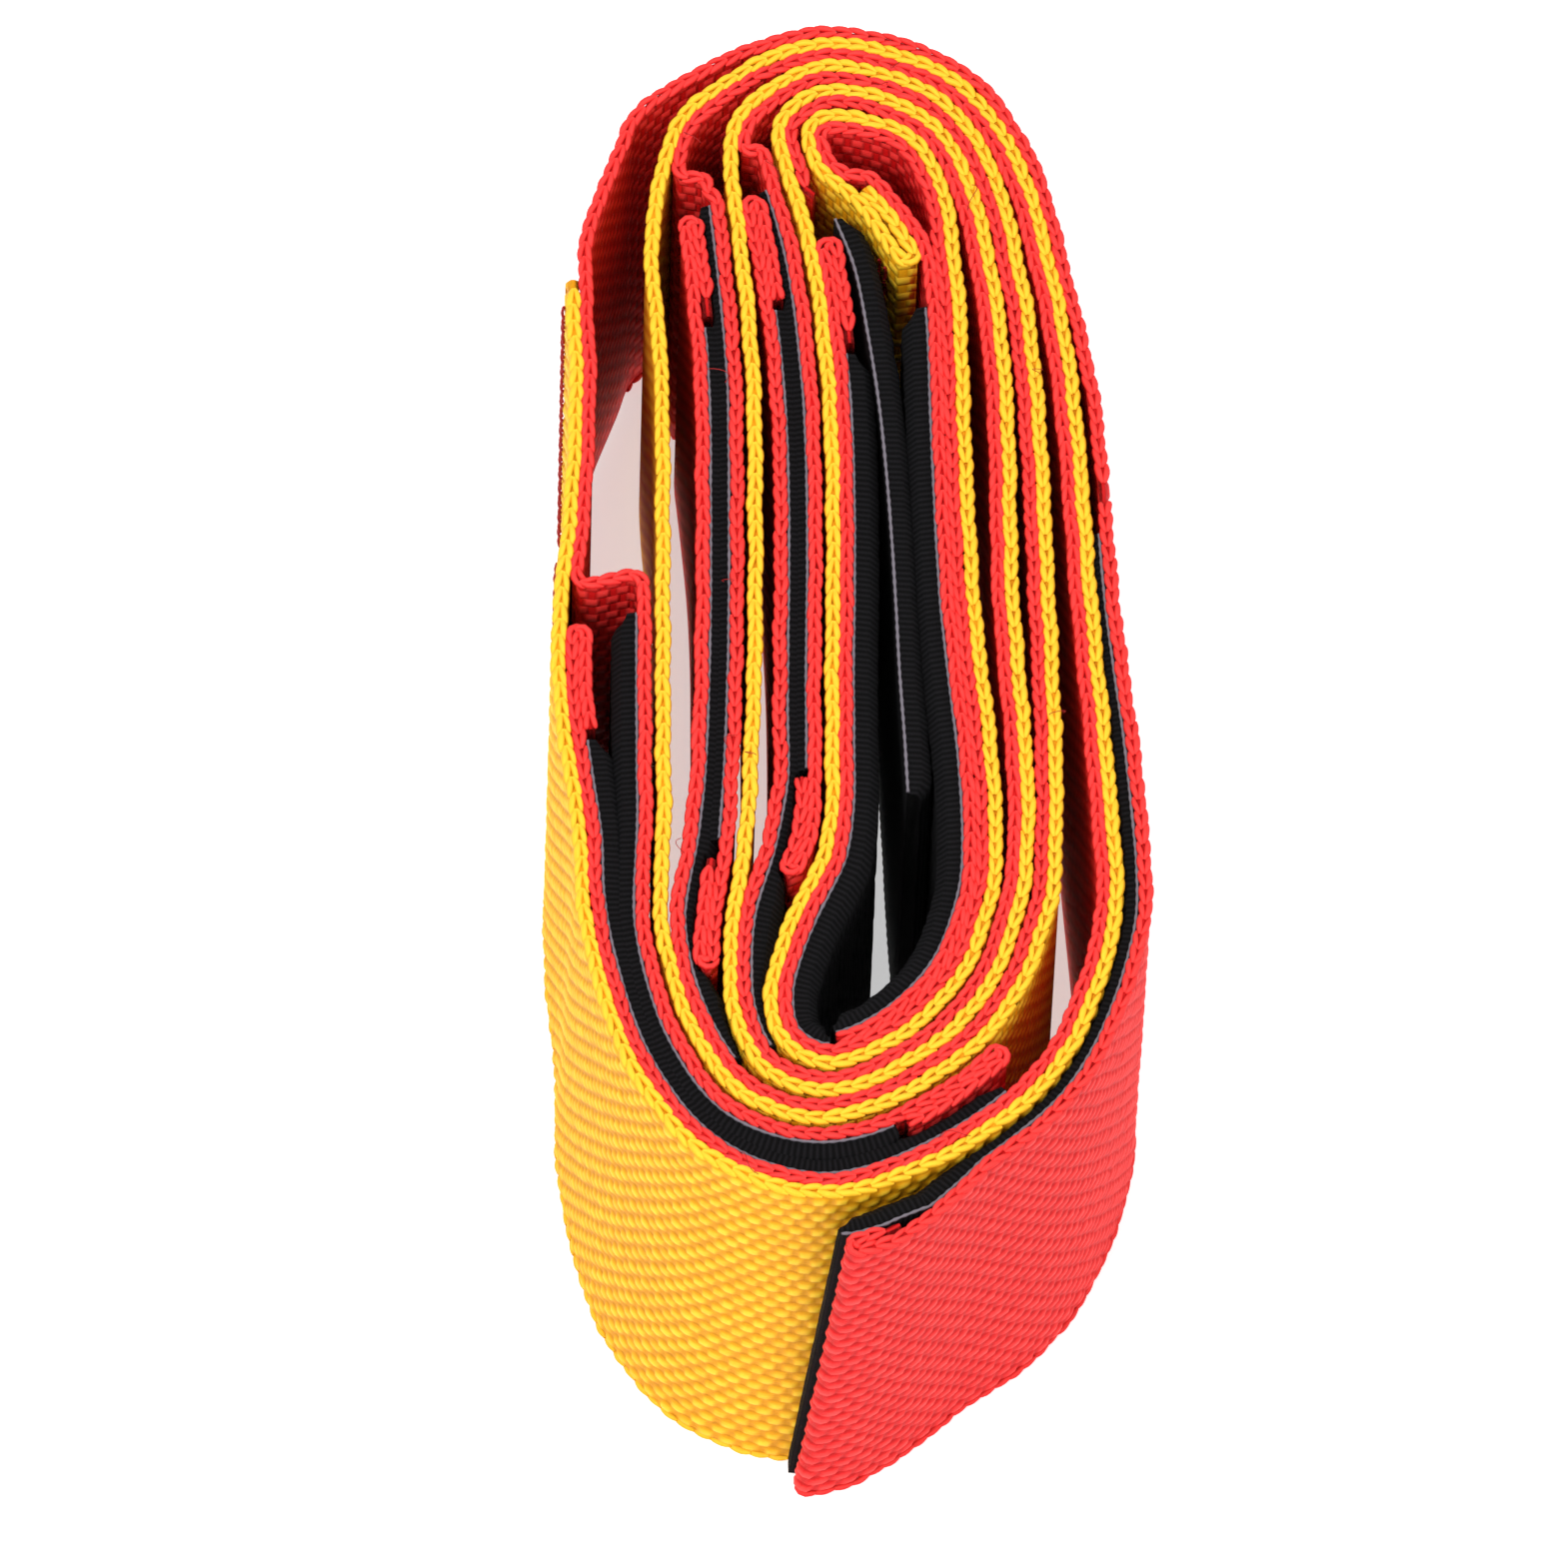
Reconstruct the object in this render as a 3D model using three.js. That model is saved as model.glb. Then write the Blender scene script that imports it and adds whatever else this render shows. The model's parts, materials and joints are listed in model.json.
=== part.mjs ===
// A hook-and-loop webbing belt, rolled up flat and standing on the edge of its webbing.
// One long main webbing carries five straps. Each strap is sewn to the inner side of the main webbing
// and has two free arms, an outer and an inner one. Tape on both arms closes the strap into a loop.
// The outermost strap wraps the whole roll, and its outer arm ends in the closing flap.
// Millimetres, +Z up. X runs across the roll, Y runs along it, and the front of the roll faces -Y.
import * as THREE from 'three';

// Widths and thicknesses of the bands.
const webbing_width = 50;
const tape_width = 48.8;
const seam_width = 44;
const main_thickness = 1.1;
const strap_thickness = 0.85;
const tape_thickness = 0.5;
const seam_thickness = 0.3;

// Clearances between layers.
const layer_gap = 0.12;
const fold_gap = 0.2;
const free_play = 0.2;
const pile_room = 0.6;

// Size of the core that every turn is wound around.
const core_length = 80;
const core_width = 18;

// Lengths along the bands.
const main_hem = 7;
const strap_hem = 9;
const flap_hem = 3.6;
const outer_tape_length = 70;
const inner_tape_length = 60;
const flap_tape_length = 78;
const tape_to_hem = 0.8;
const tape_to_shoulder = 3.4;
const seam_row = 1.4;
const seam_inset = 1.6;
const hinge_slit = 0.3;
const tape_overhang = 1.2;
const closing_length = 30;

// The S-shaped shoulder where a strap's inner arm leaves the main webbing, and how far from it the arm
// that comes up from below ends.
const shoulder_radius = 1.0;
const shoulder_angle = THREE.MathUtils.degToRad(108);
const shoulder_length = 3;
const shoulder_clearance = 6;
const least_shoulder = 2.2 * (1 - Math.cos(shoulder_angle));

// How far strap d's inner arm leans into the core at its end, and how far it is pressed against the
// webbing at its shoulder.
const core_lean = 4;
const core_squeeze = 1.5;
const squeeze_length = 5;

// How far the closing flap's end stands off the roll, and how long the steps over the hems are.
const flap_lift = 3.6;
const flap_lift_length = 15;
const step_length = 2;
const flap_step = 4;

// How finely the bends are cut into chords.
const steps_between_stations = 24;
const longest_chord = 6;
const shortest_chord = 0.4;
const sharpest_bend = THREE.MathUtils.degToRad(7);
const fold_steps = 6;
const joining_steps = 8;
const spare_laps = 0.3;

// Distances from the middle of the main webbing to the middle of what lies on its inner side.
const arm_offset = main_thickness / 2 + layer_gap + strap_thickness / 2;
const strap_to_tape = strap_thickness / 2 + layer_gap + tape_thickness / 2;
const strap_to_hem = strap_thickness + fold_gap;
const two_tapes = 2 * strap_to_tape + tape_thickness + free_play;
const hem_and_tape = strap_to_hem + strap_thickness / 2 + free_play + tape_thickness / 2 + strap_to_tape;
const return_offset = arm_offset + Math.max(two_tapes, hem_and_tape);
const main_to_hem = main_thickness + fold_gap;
const stitch_room = seam_thickness + layer_gap;
const over_hem_offset = main_to_hem + arm_offset + layer_gap;
const second_arm_offset = arm_offset + strap_thickness + layer_gap;

// How far one turn lies from the next where one strap, or two straps with their tapes, lie between.
const thin_pitch = 2 * arm_offset;
const full_pitch = return_offset + arm_offset;

// One lap of the roll, clockwise from above, starting at the back left. across and along place the
// first turn in the core, as shares of its half width and half length. aim is the direction, in
// degrees from +X, in which the later turns lie outside it. crowd is how full the cells between the
// turns are, from the first cell outwards: 0 for one strap, 1 for two straps and their tapes, and more
// where the roll is loose. The last cell is the one under the closing flap.
const lap = [
  { across: -0.89, along: 0.939, aim: 174, crowd: [0.12, 0.5, 0.8, 1] },
  { across: -0.72, along: 0.97, aim: 100, crowd: [0.1, 0.03, 0, 0] },
  { across: 0.02, along: 0.935, aim: 58, crowd: [0, 0, 0, 0] },
  { across: 0.34, along: 0.83, aim: 25, crowd: [0.05, 0, 0.05, 0] },
  { across: 0.56, along: 0.56, aim: 0, crowd: [0.35, 0.1, 0.2, 0.05] },
  { across: 0.64, along: 0.31, aim: 0, crowd: [0.55, 0.15, 0.33, 0.24] },
  { across: 0.8, along: -0.15, aim: 0, crowd: [0.41, 0.3, 0.5, 0.3] },
  { across: 1.06, along: -0.61, aim: 0, crowd: [0.22, 0.06, 0.85, 0.5] },
  { across: 1.07, along: -0.83, aim: -15, crowd: [0.12, 0.1, 1.25, 0.5] },
  { across: 0.78, along: -1.04, aim: -45, crowd: [0.15, 0.08, 1.6, 0.5] },
  { across: 0.16, along: -1.19, aim: -70, crowd: [0.08, 0.06, 1.65, 0.45] },
  { across: -0.42, along: -1.24, aim: -90, crowd: [0.15, 0.1, 1.7, 0.3] },
  { across: -0.82, along: -1.19, aim: -118, crowd: [0.3, 0.3, 1.5, 0.24] },
  { across: -0.93, along: -1.085, aim: -148, crowd: [0.5, 0.6, 1.4, 0] },
  { across: -0.8, along: -0.94, aim: 180, crowd: [0.9, 1.35, 1.5, 0] },
  { across: -0.47, along: -0.74, aim: 180, crowd: [1.7, 1.7, 1.75, 0] },
  { across: -0.48, along: -0.35, aim: 180, crowd: [1.6, 2, 2.4, 0] },
  { across: -0.54, along: 0.1, aim: 180, crowd: [1.6, 2.05, 1.95, 0] },
  { across: -0.63, along: 0.36, aim: 180, crowd: [1.5, 2.05, 1.8, 0] },
  { across: -0.84, along: 0.66, aim: 180, crowd: [1.35, 1.95, 1.6, 0] },
  { across: -1.07, along: 0.83, aim: 178, crowd: [0.95, 1.3, 1.1, 0] },
];

// The inner end of the main webbing, from its folded end to the U-turn that starts the first lap.
const tail = [
  { across: 0.01, along: 0.64 },
  { across: -0.23, along: 0.722 },
  { across: -0.51, along: 0.793 },
  { across: -0.8, along: 0.852 },
];

// Places along the roll, in laps from the start of the first one. A strap's inner arm leaves the main
// webbing at leaves, and ends at ends. closes is 1 where the strap's outer arm has left the webbing to
// lie on the inner arm that its tape is closed onto.
const main_end = 3.888;
const hinge_place = 4.262;
const flap_end = 4.51;
const strap_places = {
  a: { leaves: 3.785, ends: 3.44, closes: 0 },
  b: { leaves: 2.955, ends: 2.65, closes: 0 },
  c: { leaves: 1.975, ends: 1.7, closes: 1 },
  d: { leaves: 0.941, ends: 0.69, closes: 1 },
};
const innermost_end = 0.51;
const innermost_top = 0.19;

// Where the innermost strap's inner arm meets the fold of the main webbing's end, as a length along
// the roll, and how gently it bends there.
const innermost_joins = 1.5;
const joining_slack = 0.05;
const joining_handle = main_to_hem + strap_thickness + joining_slack;

// Materials.
const yellow = new THREE.MeshStandardMaterial({ color: 0xf5b820, roughness: 0.6, metalness: 0 });
const red = new THREE.MeshStandardMaterial({ color: 0xd8262b, roughness: 0.6, metalness: 0 });
const black = new THREE.MeshStandardMaterial({ color: 0x17151a, roughness: 0.85, metalness: 0 });
const thread = new THREE.MeshStandardMaterial({ color: 0x8e1218, roughness: 0.7, metalness: 0 });

function in_core({ across, along }) {
  return new THREE.Vector3((across * core_width) / 2, (along * core_length) / 2, 0);
}

// Room that a turn of the roll takes at one station of the lap.
function room(station, cell) {
  return THREE.MathUtils.lerp(thin_pitch, full_pitch, station.crowd[cell]);
}

// The spiral that the middle of the main webbing follows. Past the webbing's end the closing flap
// follows it. Each point has its length along the spiral.
function spiral_points() {
  const corners = tail.map(in_core);
  for (let turn = 0; turn <= flap_end + spare_laps; turn += 1) {
    for (const station of lap) {
      let outward = 0;
      for (let cell = 0; cell < turn; cell += 1) {
        outward += room(station, cell);
      }
      const aim = THREE.MathUtils.degToRad(station.aim);
      const corner = in_core(station);
      corner.x += outward * Math.cos(aim);
      corner.y += outward * Math.sin(aim);
      corners.push(corner);
    }
  }
  const curve = new THREE.CatmullRomCurve3(corners, false, 'centripetal');
  const steps = (corners.length - 1) * steps_between_stations;
  const points = [];
  let length = 0;
  for (let i = 0; i <= steps; i += 1) {
    const point = curve.getPoint(i / steps);
    if (i > 0) {
      length += point.distanceTo(points[i - 1].place);
    }
    points.push({ place: point, length });
  }
  return points;
}

const spiral = spiral_points();

// Length along the spiral at a place given in laps.
function at_lap(laps) {
  const index = (tail.length + laps * lap.length) * steps_between_stations;
  const low = Math.floor(index);
  return THREE.MathUtils.lerp(spiral[low].length, spiral[low + 1].length, index - low);
}

// Vectors that shift each corner of an open path sideways by 1 mm, to the right of its direction.
function miters(path) {
  return path.map((corner, i) => {
    const before = path[Math.max(i - 1, 0)];
    const after = path[Math.min(i + 1, path.length - 1)];
    const ahead = after.clone().sub(i < path.length - 1 ? corner : before).normalize();
    const behind = corner.clone().sub(i > 0 ? before : corner).normalize();
    const along = i > 0 ? ahead.clone().add(behind).normalize() : ahead;
    return new THREE.Vector2(along.y, -along.x).divideScalar(along.dot(ahead));
  });
}

// The spiral cut into chords: a corner wherever it has turned enough or run far enough.
function chord_corners() {
  const corners = [];
  let heading = null;
  for (let i = 0; i < spiral.length; i += 1) {
    const { place, length } = spiral[i];
    const next = spiral[Math.min(i + 1, spiral.length - 1)].place;
    const last = spiral[Math.max(i - 1, 0)].place;
    const direction = next.clone().sub(last);
    const far = corners.length > 0 && length - corners.at(-1).length > longest_chord;
    const bent = heading && heading.angleTo(direction) > sharpest_bend;
    if (!heading || far || bent || i === spiral.length - 1) {
      corners.push({ place: new THREE.Vector2(place.x, place.y), length });
      heading = direction;
    }
  }
  const sideways = miters(corners.map((corner) => corner.place));
  return corners.map((corner, i) => ({ ...corner, sideways: sideways[i] }));
}

const chords = chord_corners();

// The point at a length along the spiral, shifted inward by offset.
function beside(length, offset) {
  let i = 0;
  while (i < chords.length - 2 && chords[i + 1].length < length) {
    i += 1;
  }
  const [from, to] = [chords[i], chords[i + 1]];
  const start = from.place.clone().addScaledVector(from.sideways, offset);
  const finish = to.place.clone().addScaledVector(to.sideways, offset);
  return start.lerp(finish, (length - from.length) / (to.length - from.length));
}

// Direction of the spiral at a length along it.
function heading_at(length) {
  return beside(length + 0.1, 0).sub(beside(length - 0.1, 0)).normalize();
}

// Distance from a place on the spiral to the next turn further in.
function room_inside(length) {
  const here = spiral.findIndex((point) => point.length >= length);
  const turn = lap.length * steps_between_stations;
  const inner = spiral.slice(Math.max(here - 1.3 * turn, 0), Math.max(here - 0.7 * turn, 1));
  return Math.min(...inner.map((point) => point.place.distanceTo(spiral[here].place)));
}

// Points beside the spiral between two lengths. offset is a number, or a function of the length.
function run(from, to, offset, extra = []) {
  const offset_at = typeof offset === 'function' ? offset : () => offset;
  const [low, high] = [Math.min(from, to), Math.max(from, to)];
  const within = (s) => s > low + shortest_chord && s < high - shortest_chord;
  const inside = chords.map((corner) => corner.length).filter(within);
  const lengths = [low, ...inside, ...extra, high].sort((a, b) => a - b);
  const points = lengths.map((length) => beside(length, offset_at(length)));
  return from < to ? points : points.reverse();
}

// Half a circle from one offset to another, where a band folds back. way is 1 where the band was
// running with the spiral, and -1 where it was running against it.
function fold(length, from_offset, to_offset, way) {
  const centre = beside(length, (from_offset + to_offset) / 2);
  const start = beside(length, from_offset).sub(centre);
  const ahead = heading_at(length).multiplyScalar(way * start.length());
  const points = [];
  for (let i = 1; i < fold_steps; i += 1) {
    const angle = (i / fold_steps) * Math.PI;
    const point = centre.clone().addScaledVector(start, Math.cos(angle));
    points.push(point.addScaledVector(ahead, Math.sin(angle)));
  }
  return points;
}

// The S-shaped shoulder where a strap's inner arm leaves the main webbing, running against the spiral,
// to an offset that lies further in by rise.
function shoulder(length, rise) {
  const radius = Math.min(shoulder_radius, rise / least_shoulder);
  const straight = (rise - 2 * radius * (1 - Math.cos(shoulder_angle))) / Math.sin(shoulder_angle);
  const back = 2 * radius * Math.sin(shoulder_angle) + straight * Math.cos(shoulder_angle);
  const first = [];
  for (let i = 0; i <= fold_steps; i += 1) {
    const angle = (i / fold_steps) * shoulder_angle;
    first.push({ back: radius * Math.sin(angle), in: radius * (1 - Math.cos(angle)) });
  }
  const second = first.map((point) => ({ back: back - point.back, in: rise - point.in })).reverse();
  return [...first, ...second].map((point) => beside(length - point.back, arm_offset + point.in));
}

// A band standing on edge: a path given its thickness and its width.
function band(name, path, thickness, width, material) {
  const sideways = miters(path);
  const right = path.map((p, i) => p.clone().addScaledVector(sideways[i], thickness / 2));
  const left = path.map((p, i) => p.clone().addScaledVector(sideways[i], -thickness / 2));
  const outline = new THREE.Shape([...right, ...left.reverse()]);
  const geometry = new THREE.ExtrudeGeometry(outline, { depth: width, bevelEnabled: false });
  geometry.translate(0, 0, (webbing_width - width) / 2);
  const mesh = new THREE.Mesh(geometry, material);
  mesh.name = name;
  return mesh;
}

// A smooth rise from 0 to 1 over a length that starts at from.
function ramp(from, length) {
  return (s) => THREE.MathUtils.smoothstep(s, from, from + length);
}

const belt = new THREE.Group();

// Main webbing: its inner end is folded double, its outer end is cut plain.
const main_length = at_lap(main_end);
belt.add(
  band(
    'main_webbing',
    [...run(main_hem, 0, main_to_hem), ...fold(0, main_to_hem, 0, -1), ...run(0, main_length, 0)],
    main_thickness,
    webbing_width,
    yellow,
  ),
);

// The folded end of a strap's outer arm, which lies at an offset. It folds away from the main webbing.
function outer_hem(length, offset_at) {
  const on_arm = (s) => offset_at(s) + strap_to_hem;
  return [
    ...fold(length, offset_at(length), on_arm(length), 1),
    ...run(length, length - strap_hem, on_arm),
  ];
}

// A cross row of stitches, on the outer face of the main webbing.
function seam(name, length) {
  const offset = -(main_thickness / 2 + layer_gap / 2 + seam_thickness / 2);
  const row = run(length - seam_row / 2, length + seam_row / 2, offset);
  return band(name, row, seam_thickness, seam_width, thread);
}

// Straps a to d, from the outside in. The outer arm of each ends short of the shoulder of the strap
// that lies outside it, and the outer arm of strap a runs to the hinge of the closing flap. The inner
// arm lies against the next turn further in. For strap d there is none, and its arm leans into the core.
let outside_shoulder = null;
for (const [letter, place] of Object.entries(strap_places)) {
  const leaves = at_lap(place.leaves);
  const against_turn = place.leaves > 1;
  const inner_laps = against_turn ? 1 : 0;
  const inner_leaves = at_lap(place.leaves - inner_laps);
  const inner_end = at_lap(place.ends - inner_laps);
  const lean = (s) => {
    const back = Math.max(inner_leaves - s, 0);
    const squeeze = core_squeeze * (1 - ramp(0, squeeze_length)(back));
    return return_offset - squeeze + (core_lean * back) / (inner_leaves - inner_end);
  };
  const inner_arm = against_turn ? () => -arm_offset - stitch_room : lean;
  const inward = new THREE.Vector2(heading_at(leaves).y, -heading_at(leaves).x);
  const rise = beside(inner_leaves, inner_arm(inner_leaves)).sub(beside(leaves, arm_offset)).dot(inward);
  const hem_arm = (s) => inner_arm(s) - strap_to_hem;
  const inner_tape_end = inner_leaves - tape_to_shoulder;
  const outer_end = outside_shoulder === null ? at_lap(hinge_place) : outside_shoulder - shoulder_clearance;
  const tape_end = outer_end - strap_hem - tape_to_hem;
  const tape_start = tape_end - outer_tape_length;
  const outer_arm = (s) => {
    const spare = Math.max(room_inside(s) - full_pitch - pile_room, 0);
    return arm_offset + place.closes * spare * ramp(tape_start, closing_length)(s);
  };
  const outer_finish = outside_shoulder === null ? [] : outer_hem(outer_end, outer_arm);
  belt.add(
    band(
      `strap_${letter}`,
      [
        ...run(inner_end + strap_hem, inner_end, hem_arm),
        ...fold(inner_end, hem_arm(inner_end), inner_arm(inner_end), -1),
        ...run(inner_end, inner_leaves - shoulder_length, inner_arm, [inner_tape_end]),
        ...shoulder(leaves, rise).reverse(),
        ...run(leaves + seam_inset, outer_end, outer_arm),
        ...outer_finish,
      ],
      strap_thickness,
      webbing_width,
      red,
    ),
  );
  const inner_tape_start = Math.max(inner_tape_end - inner_tape_length, inner_end + strap_hem + tape_to_hem);
  belt.add(
    band(
      `hook_tape_${letter}`,
      run(inner_tape_start, inner_tape_end, (s) => inner_arm(s) - strap_to_tape),
      tape_thickness,
      tape_width,
      black,
    ),
  );
  if (outside_shoulder !== null) {
    belt.add(
      band(
        `loop_tape_${letter}`,
        run(tape_start, tape_end, (s) => outer_arm(s) + strap_to_tape),
        tape_thickness,
        tape_width,
        black,
      ),
    );
  }
  belt.add(seam(`seam_${letter}`, leaves + seam_inset));
  outside_shoulder = leaves;
}
belt.add(seam('seam_a_end', main_length - seam_inset));

// Strap e, the innermost. Its inner arm runs up the right of the core, joins the folded end of the
// main webbing, steps down off the fold and turns with the webbing into the outer arm.
const e_outer_end = outside_shoulder - shoulder_clearance;
const e_inner_end = at_lap(innermost_end);
const e_inner_top = at_lap(innermost_top);
const over_hem = (s) =>
  THREE.MathUtils.lerp(over_hem_offset, arm_offset, ramp(main_hem + layer_gap, step_length)(s));
const e_arm_up = run(e_inner_end, e_inner_top, second_arm_offset);
const e_join = beside(innermost_joins, over_hem_offset);
const e_bend = new THREE.CubicBezierCurve(
  e_arm_up.at(-1),
  e_arm_up.at(-1).clone().addScaledVector(heading_at(e_inner_top), -joining_handle),
  e_join.clone().addScaledVector(heading_at(innermost_joins), -joining_handle),
  e_join,
);
const step_shares = [0.25, 0.5, 0.75, 1];
const step_places = step_shares.map((share) => main_hem + layer_gap + share * step_length);
belt.add(
  band(
    'strap_e',
    [
      ...e_arm_up,
      ...e_bend.getPoints(joining_steps).slice(1, -1),
      ...run(innermost_joins, e_outer_end, over_hem, step_places),
      ...outer_hem(e_outer_end, over_hem),
    ],
    strap_thickness,
    webbing_width,
    red,
  ),
);
belt.add(
  band(
    'hook_tape_e',
    run(e_inner_end, e_inner_top + 1, second_arm_offset + strap_to_tape),
    tape_thickness,
    tape_width,
    black,
  ),
);
const e_tape_end = e_outer_end - strap_hem - tape_to_hem;
const e_tape_start = Math.max(e_tape_end - outer_tape_length, e_inner_end + tape_to_hem);
belt.add(
  band(
    'loop_tape_e',
    run(e_tape_start, e_tape_end, arm_offset + strap_to_tape),
    tape_thickness,
    tape_width,
    black,
  ),
);
belt.add(seam('seam_e', seam_inset));

// The closing flap: the outer end of strap a, on the far side of the hinge. It lifts off the roll at
// its end, which has a narrow hem. The tape is laid over the hem and stands out past it.
const flap_start = at_lap(hinge_place) + hinge_slit;
const flap_finish = at_lap(flap_end);
const lifted = (s) => arm_offset - flap_lift * ramp(flap_finish - flap_lift_length, flap_lift_length)(s);
const lift_shares = [0.2, 0.4, 0.6, 0.8];
const lift_places = lift_shares.map((share) => flap_finish - share * flap_lift_length);
const on_hem = (s) => lifted(s) + strap_to_hem;
const tape_over_end = flap_finish + tape_overhang;
const flap_tape = (s) =>
  lifted(s) + strap_to_tape + strap_to_hem * ramp(flap_finish - flap_hem - flap_step, flap_step)(s);
belt.add(
  band(
    'closing_flap',
    [
      ...run(flap_start, flap_finish, lifted, lift_places),
      ...fold(flap_finish, lifted(flap_finish), on_hem(flap_finish), 1),
      ...run(flap_finish, flap_finish - flap_hem, on_hem),
    ],
    strap_thickness,
    webbing_width,
    red,
  ),
);
belt.add(
  band(
    'loop_tape_a',
    run(tape_over_end - flap_tape_length, tape_over_end, flap_tape, lift_places),
    tape_thickness,
    tape_width,
    black,
  ),
);

// The origin is on the floor, under the middle of the roll.
const bounds = new THREE.Box3().setFromObject(belt);
const middle = bounds.getCenter(new THREE.Vector3());
belt.position.set(-middle.x, -middle.y, 0);

export default belt;
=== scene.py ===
"""The looks of a rolled hook-and-loop webbing belt.

Every band follows the middle of its CAD node. Its faces are woven, and its edges are plaited.
Lengths are in millimetres until a mesh is made, and the frame is in metres.
"""

import json
import math

import bpy
import numpy as np
from mathutils import Matrix, Vector


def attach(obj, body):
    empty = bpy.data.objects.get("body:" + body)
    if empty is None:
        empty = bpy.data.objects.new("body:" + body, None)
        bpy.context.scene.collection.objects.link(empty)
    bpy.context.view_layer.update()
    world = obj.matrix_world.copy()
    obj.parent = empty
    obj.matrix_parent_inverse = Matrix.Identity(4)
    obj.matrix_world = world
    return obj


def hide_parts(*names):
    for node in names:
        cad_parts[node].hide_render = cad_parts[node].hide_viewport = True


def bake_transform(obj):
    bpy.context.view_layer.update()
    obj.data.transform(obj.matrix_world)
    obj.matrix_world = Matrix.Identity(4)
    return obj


MM = 0.001
STRAPS = "abcde"

# Webbing and tape, across their length.
BAND_WIDTH = 50
TAPE_LOW, TAPE_HIGH = 0.6, 49.4
PILE_LOW, PILE_HIGH = 0.9, 49.1

# The weave: FLOAT_PITCH is one float and one dip of a warp yarn, and ROWS yarns lie side by side on a
# face. The steps and samples say how closely the mesh follows them.
FLOAT_PITCH = 1.75
ROWS = 34
FACE_LOW, FACE_HIGH = 0.75, 49.25
FINE_STEP = 0.3
COARSE_STEP = 1.0
FINE_SAMPLES = 4
COARSE_ROWS = 12
WEAVE_DEPTH = 0.36
FINE_ROWS = ROWS * FINE_SAMPLES + 1
FACES = {"left": (FINE_ROWS, COARSE_ROWS), "right": (COARSE_ROWS, FINE_ROWS)}

# DEEPEST is how high a row stands in its dips, and a larger ROW_FILL makes its back narrower.
DEEPEST = 0.26
ROW_FILL = 1.9

# How far from the outer end, or from the hinge, the weave is in the mesh.
FINE_MAIN = 190
FINE_STRAP = 75

# Thicknesses of the bands, and about how much of a row the floats of each webbing cover.
THICK = {"main": 1.1, "strap": 0.85, "tape": 0.5}
FLOAT_SHARE = {"main": 0.74, "strap": 0.88}

# The tape: its ribs, how deep its pile may be, how far it stops from a band's middle, and how closely
# the mesh follows it.
RIB_PITCH = 0.5
MOST_PILE = 1.7
PILE_STOP = 0.5
TAPE_STEP = 0.4
TAPE_ROWS = 40
FUZZ = 0.16

# The chain of stitches along the edges.
CHAIN_PITCH = 1.48
CHAIN_HALF = 0.42
LEG_RADIUS = 0.32
LEG_POINTS = 7
STRAND_SIDES = 6
END_INSET = 0.2
RED_SIZE = 0.93

# Where each face and each strand lies on the flat cloth that the materials follow.
FACE_SHIFT = 60
STRAND_SHIFT = 3.7
STRAND_START = 120

# The outer turn's foot stands out, and the flap's end slants. HINGE_BLEND is a stretch of the flap from the
# hinge.
# The flare's start and end are measured back from the outer end.
FLARE = 2.2
FLARE_FROM, FLARE_TO = 116, 30
FLARE_RISE, FLARE_FALL = 30, 45
FLAP_SLANT = 3.6
SLANT_REACH = 45
FLAP_FOLD = 4.4
HINGE_BLEND = 14

# The materials: roughness, and the scale and depth of filaments, patches and pile.
YARN_ROUGH = 0.62
PILE_ROUGH = 0.9
FILAMENT_SCALE = (700, 6500, 1)
FILAMENT_DEPTH = 0.12
PATCH_SCALE = 160.0
PILE_SCALE = 3500.0
PILE_RELIEF = 0.3

# Threads: the row at the flap's hem, the rows at the seams, and the loose hairs.
HEM_STITCH = 3.4
HEM_PITCH = 1.55
SEAM_PITCH = 2.75
SEAM_STITCHES = 16
SEAM_LOW = 3.4
SEAM_STITCH = 2.1
FIBRES = 14

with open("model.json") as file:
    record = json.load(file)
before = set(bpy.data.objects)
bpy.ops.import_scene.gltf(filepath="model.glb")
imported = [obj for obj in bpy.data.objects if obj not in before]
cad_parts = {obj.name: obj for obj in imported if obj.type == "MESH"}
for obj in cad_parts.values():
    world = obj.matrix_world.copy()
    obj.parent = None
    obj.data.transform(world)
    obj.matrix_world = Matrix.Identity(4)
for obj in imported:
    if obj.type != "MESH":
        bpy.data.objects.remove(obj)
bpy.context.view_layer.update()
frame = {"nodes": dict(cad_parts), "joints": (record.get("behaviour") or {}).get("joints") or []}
hinge = Vector(frame["joints"][0]["pos_m"])


# ---------------------------------------------------------------- reading the frame


def outline(node):
    """The top face's outline of a band, in order, in millimetres."""
    mesh = frame["nodes"][node].data
    places = np.array([v.co for v in mesh.vertices]) / MM
    top = places[:, 2].max()
    keys = [tuple(np.round(p[:2], 3)) for p in places]
    count = {}
    for face in mesh.polygons:
        corners = list(face.vertices)
        if min(places[c][2] for c in corners) < top - 0.01:
            continue
        for a, b in zip(corners, corners[1:] + corners[:1]):
            edge = frozenset((keys[a], keys[b]))
            if len(edge) == 2:
                count[edge] = count.get(edge, 0) + 1
    beside = {}
    for edge, times in count.items():
        if times == 1:
            a, b = edge
            beside.setdefault(a, []).append(b)
            beside.setdefault(b, []).append(a)
    start = next(iter(beside))
    loop, here, before = [start], beside[start][0], start
    while here != start:
        loop.append(here)
        after = [p for p in beside[here] if p != before]
        here, before = after[0], here
    return np.array(loop)


def middle(node):
    """The points along the middle of a band, from end to end."""
    loop = outline(node)
    half = len(loop) // 2
    best = None
    for start in range(len(loop)):
        turned = np.roll(loop, -start, axis=0)
        one, other = turned[:half], turned[::-1][:half]
        gaps = np.linalg.norm(one - other, axis=1)
        spread = gaps.max() - gaps.min() + gaps.max()
        if best is None or spread < best[0]:
            best = (spread, (one + other) / 2)
    return best[1]


core = middle("main_webbing")
core = (core.min(0) + core.max(0)) / 2


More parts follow.
